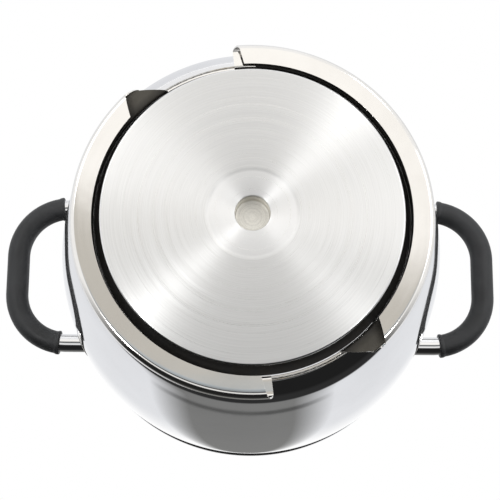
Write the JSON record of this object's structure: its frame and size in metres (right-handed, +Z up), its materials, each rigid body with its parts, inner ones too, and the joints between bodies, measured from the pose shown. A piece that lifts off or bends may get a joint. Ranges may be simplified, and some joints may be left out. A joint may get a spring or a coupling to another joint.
{
  "type": "cooking bowl",
  "caption": "Deep polished steel cooking bowl with a turned sandwich base, a bayonet foot ring round it and a sleeved loop handle on each side.",
  "frame": {"origin": "centre of the base disc's lower face, which the bowl rests on, with the mouth up", "axes": "+Z up along the bowl's axis, +X and -X through the two handles, +Y towards the back"},
  "size_m": [0.331, 0.242, 0.1858],
  "materials": {
    "bowl_steel": "mirror-polished stainless steel",
    "cap_steel": "fine concentric turning",
    "core_aluminium": "machined",
    "ring_steel": "polished pressed sheet with fine handling marks",
    "tube_steel": "polished tube",
    "grip_rubber": "matt moulded silicone",
    "weld_steel": "dressed weld metal"
  },
  "bodies": {
    "root": {"bowl_shell": "bowl_steel", "base_core": "core_aluminium", "base_cap": "cap_steel", "foot_ring": "ring_steel", "foot_ring_weld": "weld_steel", "handle_tube_left": "tube_steel", "handle_grip_left": "grip_rubber", "handle_weld_left_front": "weld_steel", "handle_weld_left_back": "weld_steel", "handle_tube_right": "tube_steel", "handle_grip_right": "grip_rubber", "handle_weld_right_front": "weld_steel", "handle_weld_right_back": "weld_steel"}
  },
  "joints": []
}
